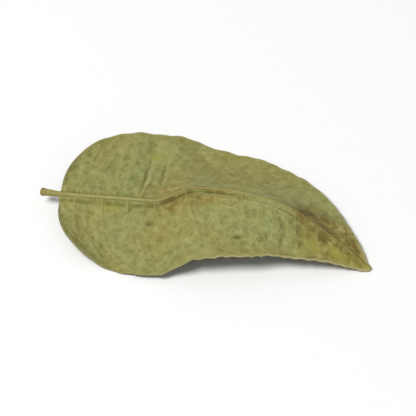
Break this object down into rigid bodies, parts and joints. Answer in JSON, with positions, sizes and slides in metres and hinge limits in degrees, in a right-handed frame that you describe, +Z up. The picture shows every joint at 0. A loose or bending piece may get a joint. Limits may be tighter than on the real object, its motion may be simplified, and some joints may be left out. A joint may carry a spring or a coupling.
{
  "type": "curry leaf",
  "caption": "Dried curry leaf lying underside up, gently arched and creased, with a raised midrib, fine lateral veins and a short stalk.",
  "frame": {"origin": "on the surface that the leaf lies on, under the middle of its box", "axes": "+X along the leaf from its stalk to its tip, +Y across it, +Z up through its pale underside, which faces up"},
  "size_m": [0.042, 0.023, 0.005],
  "materials": {
    "dried_leaf": "matte olive-tan underside of a dried leaf, browner and yellower towards the tip"
  },
  "bodies": {
    "root": {"curry_leaf": "dried_leaf"}
  },
  "joints": []
}
